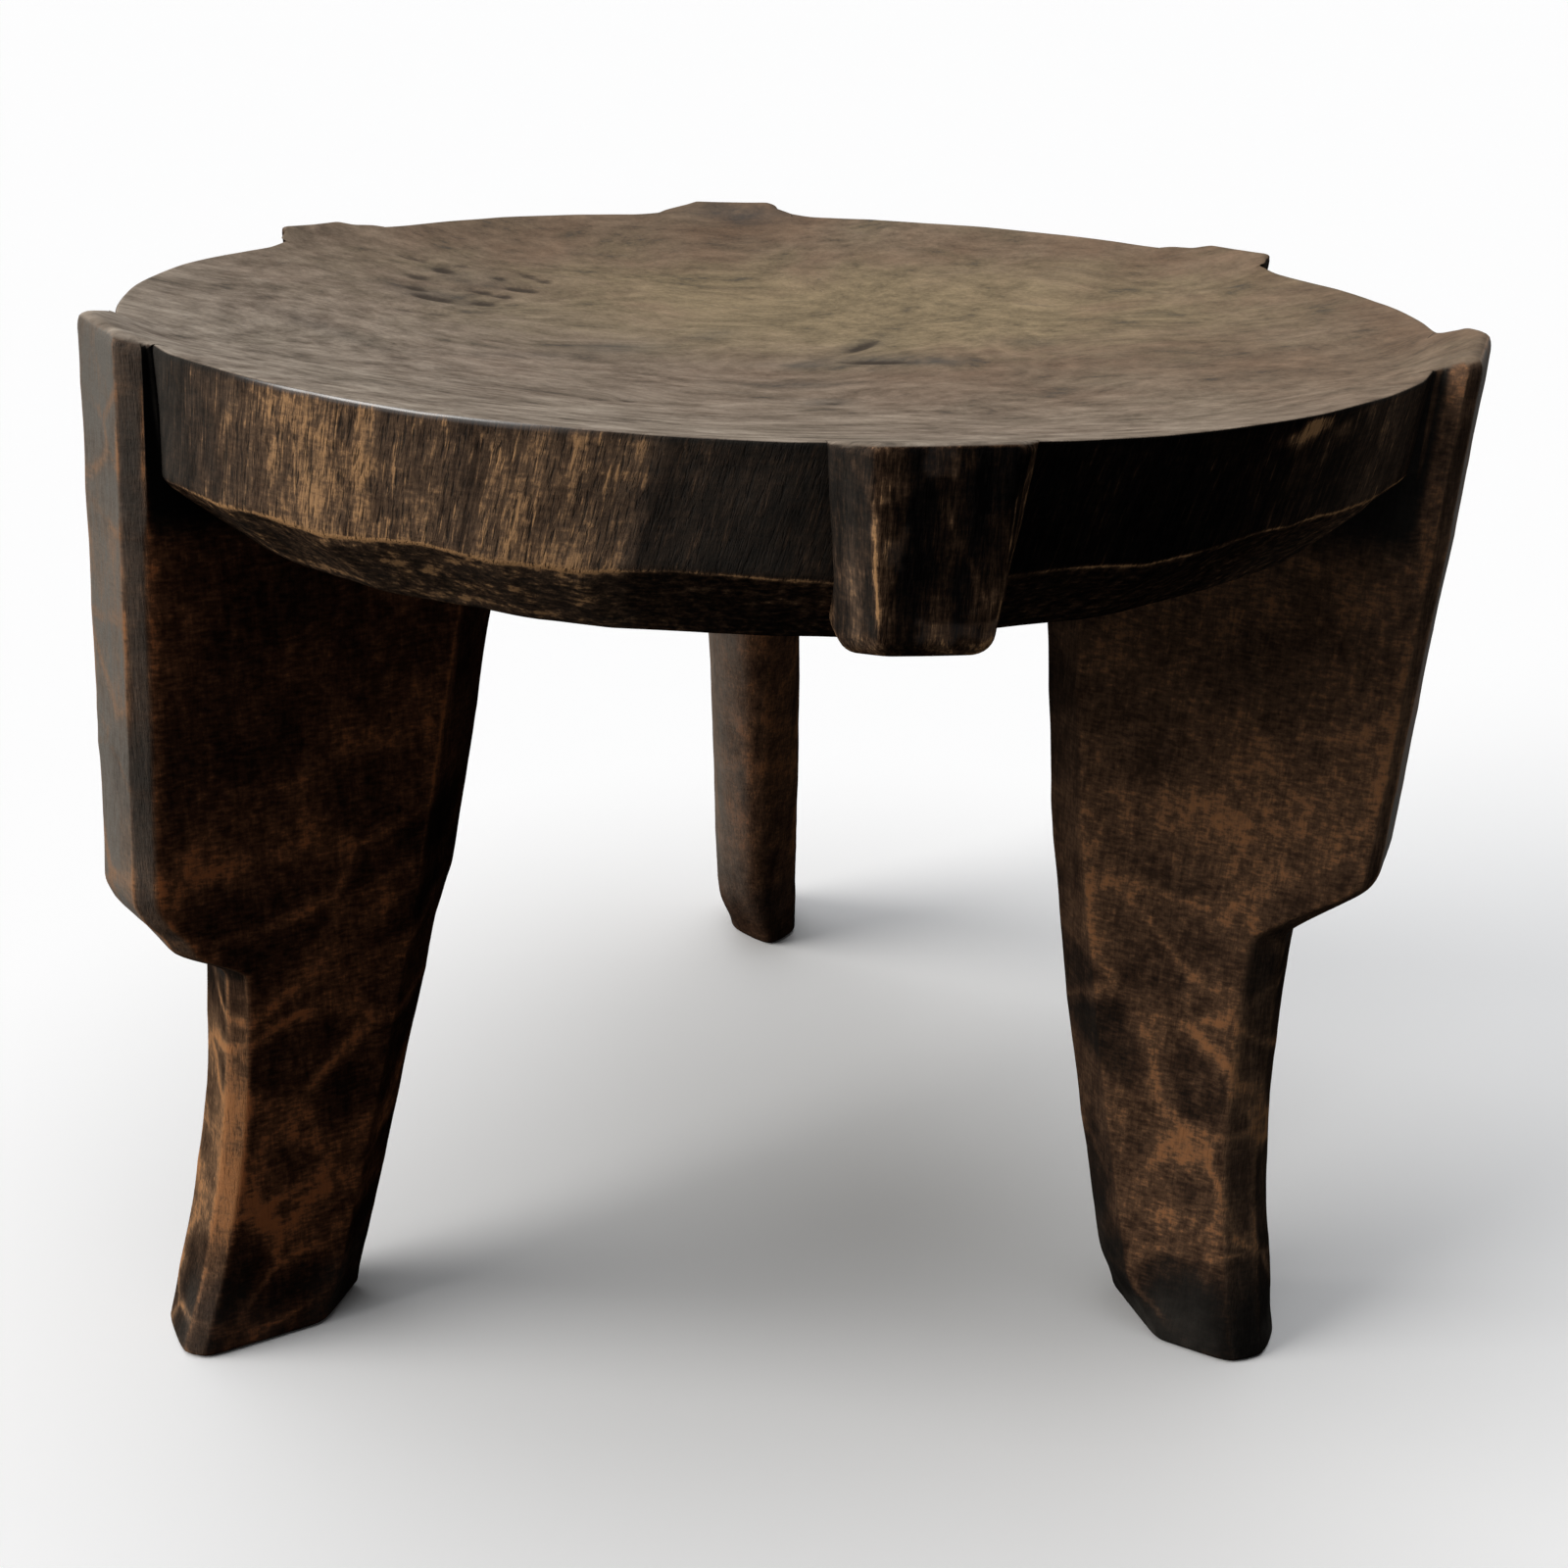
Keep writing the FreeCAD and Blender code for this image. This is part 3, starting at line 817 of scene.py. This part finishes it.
def lug_marks(grid, gap, own, lug):
    """Finish of a lug: smoked, with bare wood on its edges and chips, and a painted sheen on one
    side.
    """
    seed = lug.seed
    facing, sideways = member_frame(outward(grid), lug.angle)
    z = grid[..., 2]
    chips = ramp_up(0.2, 0.45, clouds(grid, 7, seed + 60))
    veins = clouds(grid, (5, 5, 60), seed + 64)
    broken = ramp_up(-0.5, 0.2, clouds(grid, (6, 6, 9), seed + 68))
    toe_chips = hump(z, lug.toe + 2, 2.5) * ramp_up(0.1, 0.6, -sideways) * broken
    arris = hump(facing, 0.8, 0.09) * (z < LUG_WORN_END) * broken
    # The clockwise side gets a darker tone and a painted grey sheen
    sheen_side = ramp_up(0.4, 0.8, -sideways)
    tone = lug.tone - 0.2 * sheen_side + 0.14 * chips + 0.24 * (own - 0.5) + 0.4 * veins
    tone = towards(tone, 0.5, 0.9 * np.maximum(arris, 0.8 * worn_edges(grid, gap, 0.4)))
    tone = towards(tone, 0.45, 0.6 * toe_chips)
    return wood_marks(grid, tone, sheen_side * (0.08 + 0.14 * veins), 0.95, 0.04 * chips)


# Colours as linear red, green and blue: the sides by tone from smoke to worn wood, and the top
SIDE_COLOURS = (
    (0.0, (0.0035, 0.0031, 0.0031, 1)), (0.2, (0.008, 0.0064, 0.0058, 1)),
    (0.4, (0.022, 0.0132, 0.0088, 1)), (0.6, (0.064, 0.036, 0.0215, 1)),
    (0.8, (0.165, 0.095, 0.053, 1)), (1.0, (0.3, 0.175, 0.095, 1)),
)
PORE_DARK = SIDE_COLOURS[1][1]
PALE_GOLD = (0.6, 0.33, 0.15, 1)
ORANGE_GOLD = (0.42, 0.2, 0.084, 1)
# Grey of bloom and painted sheen, and the red tint painted on faces in shade
BLOOM_AND_SHEEN_GREY = (0.165, 0.15, 0.13, 1)
SHADE_RED_TINT = (1.0, 0.7, 0.58, 1)
GREY_BROWN = (0.178, 0.132, 0.09, 1)
OLIVE = (0.226, 0.17, 0.1, 1)
RUSSET = (0.146, 0.092, 0.058, 1)
SLATE = (0.072, 0.066, 0.06, 1)
PIT_DARK = (0.04, 0.029, 0.021, 1)
# Grey of the painted sheen on the top
PAINTED_SHEEN_ASH = (0.33, 0.285, 0.235, 1)
BUMP_STRENGTH, BUMP_DISTANCE = 0.5, 0.0006
COAT_ROUGHNESS, COAT_IOR = 0.3, 2.0

# What the shader groups hand on to each other
GRAIN_PARTS = ("Streak", "Pores", "Glints", "Cloud", "Fleck")
GAINS = ("Streak Gain", "Cloud Gain", "Fleck Gain", "Pores Gain")
SIDE_MARKS = ("Tone", "Fibre", "Bloom", "Ember")
TOP_MARKS = ("Pale", "Gouge_Darkening", "Smear", "Bloom")
SURFACE = {"Color": "Color", "Roughness": "Float", "Height": "Float"}
EVEN = (1, 1, 1)
FLOW = 0.09


def own_tree(holder):
    """The node tree of a material or a world."""
    holder.use_nodes = True
    return holder.node_tree


def feed(tree, node, inputs):
    """Sets or links a node's inputs."""
    for name, value in inputs.items():
        if isinstance(value, bpy.types.NodeSocket):
            tree.links.new(value, node.inputs[name])
        else:
            node.inputs[name].default_value = value


def add(tree, kind, inputs=(), **settings):
    """A new shader node with its settings made and its inputs set or linked."""
    node = tree.nodes.new("ShaderNode" + kind)
    for name, value in settings.items():
        setattr(node, name, value)
    feed(tree, node, dict(inputs))
    return node


def calc(tree, operation, first, second):
    """A Math node's output."""
    return add(tree, "Math", {0: first, 1: second}, operation=operation).outputs[0]


def times(tree, first, second):
    """The product of two values."""
    return calc(tree, "MULTIPLY", first, second)


def weigh(tree, *pairs):
    """The sum of values times their weights; a value or a number without a weight is added."""
    total = 0.0
    for pair in pairs:
        part = times(tree, *pair) if isinstance(pair, tuple) else pair
        total = calc(tree, "ADD", part, total)
    return total


def fade(tree, value, low, high, curve="SMOOTHSTEP"):
    """0 below low, 1 above high and smooth between, as a node."""
    inputs = {"Value": value, "From Min": low, "From Max": high}
    return add(tree, "MapRange", inputs, interpolation_type=curve).outputs[0]


def spread(tree, value):
    """Noise stretched evenly about 0.5, so that it runs from 0 to 1 without flats."""
    return fade(tree, value, 0.27, 0.73, "LINEAR")


def blend(tree, share, first, second, kind="MIX"):
    """A mix of two colours."""
    inputs = {0: share, 6: first, 7: second}
    return add(tree, "Mix", inputs, data_type="RGBA", blend_type=kind).outputs[2]


def ramp(tree, value, stops):
    """A colour picked by a value from stops in rising order."""
    node = add(tree, "ValToRGB", {"Fac": value})
    elements = node.color_ramp.elements
    while len(elements) < len(stops):
        elements.new(0.5)
    for element, (position, colour) in zip(elements, stops):
        element.position = position
        element.color = colour
    return node.outputs["Color"]


def noise(tree, where, scale, stretch, detail=3.0, roughness=0.55):
    """Noise about 0.5, with its scale per metre and its stretch along each axis."""
    placed = add(tree, "VectorMath", {0: where, 1: stretch}, operation="MULTIPLY").outputs[0]
    inputs = {"Vector": placed, "Scale": scale, "Detail": detail, "Roughness": roughness}
    return add(tree, "TexNoise", inputs).outputs[0]


def new_group(name, inputs, outputs):
    """An empty shader group with named sockets, what it is given, and its end node."""
    group = bpy.data.node_groups.new(name, "ShaderNodeTree")
    for direction, sockets in (("INPUT", inputs), ("OUTPUT", outputs)):
        for label, kind in sockets.items():
            group.interface.new_socket(label, in_out=direction, socket_type="NodeSocket" + kind)
    given = group.nodes.new("NodeGroupInput").outputs
    return group, given, group.nodes.new("NodeGroupOutput")


def finish_group(group, ends, *values):
    """Links the values to the group's outputs, in order."""
    feed(group, ends, dict(enumerate(values)))
    return group


def make_grain_group():
    """Long grain: streaks, open pores, bright fibres, drifting clouds and flecks along it."""
    group, given, ends = new_group(
        "long_grain", {"Where": "Vector"}, dict.fromkeys(GRAIN_PARTS, "Float"))
    where = given["Where"]
    fine = noise(group, where, 1800, (1, 1, 0.12), 4, 0.75)
    broad = noise(group, where, 280, (1, 1, 0.1), 3)
    streak = spread(group, weigh(group, (fine, 0.6), (broad, 0.4)))
    pores = fade(group, noise(group, where, 1900, (1, 1, 0.1), 2), 0.55, 0.66)
    glints = fade(group, noise(group, where, 1300, (1, 1, 0.08), 2), 0.58, 0.7)
    slow = noise(group, where, 24, EVEN, 3, 0.6)
    quick = noise(group, where, 90, (0.8, 0.8, 1.1), 5, 0.7)
    drift = spread(group, weigh(group, (slow, 0.4), (quick, 0.6)))
    dashes = noise(group, where, 500, (1, 1, 0.3), 4, 0.75)
    specks = noise(group, where, 1100, (0.35, 0.35, 1), 3, 0.6)
    fleck = spread(group, weigh(group, (dashes, 0.5), (specks, 0.5)))
    return finish_group(group, ends, streak, pores, glints, drift, fleck)


def make_side_group():
    """Smoked sides: a tone, shifted by streak, cloud and fleck, picks from smoke to bare worn wood.

    A painted red tint of shade and grey bloom with painted sheen come over it, and the pores stay
    dark where the fibres are long.
    """
    values = dict.fromkeys((*GRAIN_PARTS, *GAINS, *SIDE_MARKS, "Base"), "Float")
    group, given, ends = new_group("smoked_sides", {**values, "Worn Color": "Color"}, SURFACE)
    streak, pores, glints, drift, fleck = (given[label] for label in GRAIN_PARTS)
    streak_gain, drift_gain, fleck_gain, pores_gain = (given[label] for label in GAINS)
    tone, fibre, bloom, ember = (given[label] for label in SIDE_MARKS)
    streak_gain = times(group, streak_gain, fibre)
    fleck_gain = times(group, fleck_gain, weigh(group, (fibre, -0.8), 1.2))
    grain_gain = times(group, pores_gain, weigh(group, (fibre, 0.8), 0.2))
    shifts = [times(group, calc(group, "SUBTRACT", part, 0.5), gain)
              for part, gain in ((streak, streak_gain), (drift, drift_gain), (fleck, fleck_gain))]
    bright = times(group, glints, grain_gain)
    total = weigh(group, given["Base"], tone, (bright, 0.22), *shifts)
    wood = ramp(group, total, SIDE_COLOURS)
    wood = blend(group, fade(group, total, 0.76, 1.02), wood, given["Worn Color"])
    open_pores = times(group, times(group, pores, grain_gain), 0.75)
    wood = blend(group, open_pores, wood, PORE_DARK)
    wood = blend(group, ember, wood, SHADE_RED_TINT, "MULTIPLY")
    fibres = times(group, streak, fibre)
    # Grey bloom with painted sheen
    sheen_haze = times(group, bloom, weigh(group, (fibres, 1.2), (drift, 0.8), 0.1))
    wood = blend(group, sheen_haze, wood, BLOOM_AND_SHEEN_GREY)
    rough = weigh(group, (fleck, 0.14), (drift, 0.08), 0.4)
    height = weigh(group, (fibres, 0.6), (fleck, 0.4), (open_pores, -0.9))
    return finish_group(group, ends, wood, rough, height)


def make_top_group():
    """The sat-on top: grey-brown and russet, olive where palest, greyed by a painted sheen,
    brushed, with faint rings, smears and darker gouges."""
    group, given, ends = new_group(
        "sat_on_top", {"Where": "Vector", **dict.fromkeys(TOP_MARKS, "Float")}, SURFACE)
    where = given["Where"]
    pale, gouge_darkening, smear, bloom = (given[label] for label in TOP_MARKS)
    slow = add(group, "TexNoise", {"Vector": where, "Scale": 9, "Detail": 2}).outputs[1]
    inputs = {0: slow, 1: (FLOW, FLOW, FLOW), 2: where}
    flowing = add(group, "VectorMath", inputs, operation="MULTIPLY_ADD").outputs[0]
    patches = spread(group, noise(group, where, 24, (1.2, 1, 1), 3, 0.6))
    mottle = spread(group, noise(group, flowing, 55, (0.9, 1, 1), 4, 0.6))
    brush = spread(group, noise(group, flowing, 170, (0.65, 1, 1), 4, 0.65))
    grit = spread(group, noise(group, where, 800, EVEN, 2))
    scratch = fade(group, noise(group, flowing, 420, (0.04, 1, 1), 2), 0.62, 0.74)
    inputs = {"Vector": where, "Scale": 45, "Distortion": 6, "Detail": 3, "Detail Scale": 0.6}
    rings = add(group, "TexWave", inputs, wave_type="RINGS", rings_direction="Z")
    pale_here = fade(group, weigh(group, pale, (mottle, 0.5), (patches, -0.4)), 0.1, 1.0)
    # Painted grey sheen from the bloom mark
    painted_sheen = times(group, bloom, weigh(group, (brush, -0.8), (mottle, -0.5), 1.65))
    level = weigh(
        group, (mottle, -0.62), (brush, -0.68), (grit, -0.28), (rings.outputs["Fac"], -0.08), 1.85)
    dark_brush = fade(group, weigh(group, (brush, 0.5), (mottle, 0.5)), 0.66, 0.9)
    wet = times(group, smear, weigh(group, (brush, 0.7), (mottle, 0.5), 0.05))
    pitted = fade(group, weigh(group, gouge_darkening, (brush, 0.25), (grit, 0.1)), 0.2, 1.2)
    colour = blend(group, patches, GREY_BROWN, RUSSET)
    colour = blend(group, pale_here, colour, OLIVE)
    colour = blend(group, painted_sheen, colour, PAINTED_SHEEN_ASH)
    colour = blend(group, 1.0, colour, level, "MULTIPLY")
    colour = blend(group, times(group, dark_brush, 0.45), colour, SLATE)
    colour = blend(group, times(group, scratch, 0.2), colour, SLATE)
    colour = blend(group, wet, colour, SLATE)
    colour = blend(group, times(group, pitted, 0.9), colour, PIT_DARK)
    rough = weigh(group, (mottle, 0.1), (brush, 0.1), 0.4)
    height = weigh(group, (brush, -0.35), (grit, 0.2), (mottle, -0.5), (scratch, -0.4))
    return finish_group(group, ends, colour, rough, height)


GROUPS = {"grain": make_grain_group(), "sides": make_side_group(), "top": make_top_group()}


def wood_material(name, base, gains, worn):
    """Waxed dark wood: smoked sides and a sat-on top, joined by the piece's own top mask."""
    material = bpy.data.materials.new(name)
    tree = own_tree(material)

    def mark(label, output="Fac"):
        return add(tree, "Attribute", attribute_name=label.lower()).outputs[output]

    def use(group, inputs):
        return add(tree, "Group", inputs, node_tree=GROUPS[group]).outputs

    grain = use("grain", {"Where": mark("Grain", "Vector")})
    sides = use("sides", {
        **{label: grain[label] for label in GRAIN_PARTS}, **dict(zip(GAINS, gains)),
        **{label: mark(label) for label in SIDE_MARKS}, "Base": base, "Worn Color": worn})
    place = add(tree, "TexCoord").outputs["Object"]
    top = use("top", {"Where": place, **{label: mark(label) for label in TOP_MARKS}})
    topmost = mark("Top")
    rough, height = (
        add(tree, "Mix", {0: topmost, 2: sides[label], 3: top[label]}).outputs[0]
        for label in ("Roughness", "Height"))
    relief = {"Strength": BUMP_STRENGTH, "Distance": BUMP_DISTANCE, "Height": height}
    feed(tree, tree.nodes["Principled BSDF"], {
        "Base Color": blend(tree, topmost, sides["Color"], top["Color"]), "Roughness": rough,
        "Normal": add(tree, "Bump", relief).outputs["Normal"], "Coat Weight": mark("Polish"),
        "Coat Roughness": COAT_ROUGHNESS, "Coat IOR": COAT_IOR, "Specular IOR Level": 0.0})
    return material


def make_stool():
    """The seat, the legs and the lugs, each with its own finish.

    A wood has a base tone, the gains of streak, cloud, fleck and pores, and its colour where worn.
    """
    seat_wood = wood_material("seat_wood", 0.69, (0.6, 0.2, 0.85, 1.0), PALE_GOLD)
    leg_wood = wood_material("leg_wood", 0.67, (0.36, 0.42, 0.62, 0.4), ORANGE_GOLD)
    lug_wood = wood_material("lug_wood", 0.48, (0.8, 0.7, 0.8, 0.8), PALE_GOLD)
    seat = seat_skin()
    make_piece("seat", seat[0], seat_marks(*seat), seat_wood)
    kinds = ((LEGS, leg_skin, leg_marks, leg_wood), (LUGS, lug_skin, lug_marks, lug_wood))
    for members, skin_of, marks_of, wood in kinds:
        for node, member in members.items():
            skin = skin_of(member)
            make_piece(node, skin[0], marks_of(*skin, member), wood)


# Stage: a wide pale floor in a dim room, a soft window light from the left and one from above
FLOOR_HALF = 60.0
FLOOR_PALE = (1.0, 1.0, 1.0, 1)
FLOOR_BOUNCE = (0.1, 0.1, 0.1, 1)
FLOOR_ROUGHNESS = 0.9
ROOM_LIGHT = 0.06
# Lamps: where each one's light comes from, its strength, its width in degrees and its colour
LAMPS = (
    ("window", (-0.85, -0.22, 0.42), 2.4, 40.0, (1.0, 0.98, 0.95)),
    ("overhead", (-0.15, 0.1, 1.0), 1.95, 70.0, (0.97, 0.98, 1.0)),
)

# Camera: worked out from the picture's perspective, in a square picture 1600 pixels wide
PICTURE_WIDTH = 1600
FOCAL_PIXELS = 1878.6
CAMERA_PLACE = (5.28, -444.62, 317.42)
CAMERA_DOWN = 0.4242
CAMERA_ROLL = -0.0449
SENSOR_WIDTH = 36.0
CLIP_START, CLIP_END = 0.01, 200.0


def seen_directly(tree):
    """1 for rays that the eye follows, straight, reflected or through glass, and 0 for lighting."""
    path = add(tree, "LightPath").outputs
    seen = calc(tree, "MAXIMUM", path["Is Camera Ray"], path["Is Glossy Ray"])
    return calc(tree, "MAXIMUM", seen, path["Is Transmission Ray"])


def make_stage():
    """The floor, the room's light and the lamps."""
    corners = [(x * FLOOR_HALF, y * FLOOR_HALF, 0) for x, y in ((-1, -1), (1, -1), (1, 1), (-1, 1))]
    mesh = bpy.data.meshes.new("floor")
    mesh.from_pydata(corners, [], [(0, 1, 2, 3)])
    floor = put("floor", mesh)
    paint = bpy.data.materials.new("pale_floor")
    tree = own_tree(paint)
    feed(tree, tree.nodes["Principled BSDF"], {
        "Base Color": blend(tree, seen_directly(tree), FLOOR_BOUNCE, FLOOR_PALE),
        "Roughness": FLOOR_ROUGHNESS, "Specular IOR Level": 0.0})
    mesh.materials.append(paint)

    world = bpy.data.worlds.new("room")
    bpy.context.scene.world = world
    tree = own_tree(world)
    inputs = {"Value": seen_directly(tree), "To Min": ROOM_LIGHT, "To Max": 1.0}
    strength = add(tree, "MapRange", inputs).outputs[0]
    feed(tree, tree.nodes["Background"], {"Strength": strength, "Color": FLOOR_PALE})

    for name, source, energy, width, colour in LAMPS:
        light = bpy.data.lights.new(name, "SUN")
        light.energy = energy
        light.angle = math.radians(width)
        light.color = colour
        put(name, light).rotation_euler = Vector(source).to_track_quat("Z", "Y").to_euler()


def make_camera():
    """The camera, looking along +Y and down, rolled a little."""
    camera = put("camera", bpy.data.cameras.new("camera"))
    camera.data.sensor_width = SENSOR_WIDTH
    camera.data.lens = FOCAL_PIXELS / PICTURE_WIDTH * SENSOR_WIDTH
    camera.data.clip_start = CLIP_START
    camera.data.clip_end = CLIP_END
    tip = Matrix.Rotation(math.pi / 2 - CAMERA_DOWN, 4, "X")
    roll = Matrix.Rotation(-CAMERA_ROLL, 4, "Z")
    camera.matrix_world = Matrix.Translation(Vector(CAMERA_PLACE) * MM) @ tip @ roll
    bpy.context.scene.camera = camera


make_stool()
make_stage()
make_camera()
bpy.context.scene.view_settings.view_transform = "Standard"
